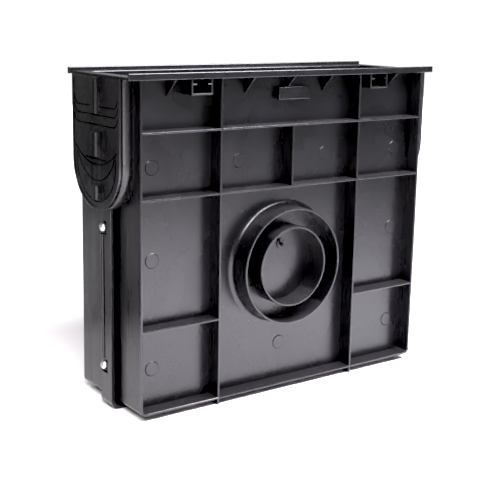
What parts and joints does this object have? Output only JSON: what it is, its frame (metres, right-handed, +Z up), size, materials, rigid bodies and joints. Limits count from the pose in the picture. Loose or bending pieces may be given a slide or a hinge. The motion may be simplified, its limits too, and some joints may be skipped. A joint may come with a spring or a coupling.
{
  "type": "sand trap drain",
  "caption": "Black plastic sand trap for a surface drain channel: two bolted half shells with round side outlets, channel sockets at the ends and a lift-out slotted basket.",
  "frame": {"origin": "centre of the footprint on the ground, under the seam between the two half shells", "axes": "+X along the length of the drain channel, +Y from the pictured half to the rear half, +Z up"},
  "size_m": [0.519, 0.171, 0.438],
  "materials": {
    "black_pp": "satin moulded black polypropylene",
    "zinc_steel": "bright zinc-plated steel",
    "basket_pp": "matt moulded dark grey polypropylene"
  },
  "bodies": {
    "trap": {"front_half_shell": "black_pp", "rear_half_shell": "black_pp", "seam_screws": "zinc_steel", "sediment_basket": "basket_pp"},
    "handle": {"basket_handle": "basket_pp"}
  },
  "joints": [
    {"name": "handle_swing", "type": "hinge", "parent": "trap", "child": "handle", "pos_m": [0, 0, 0.1172], "axis": [1, 0, 0], "range_deg": [0, 180]}
  ]
}
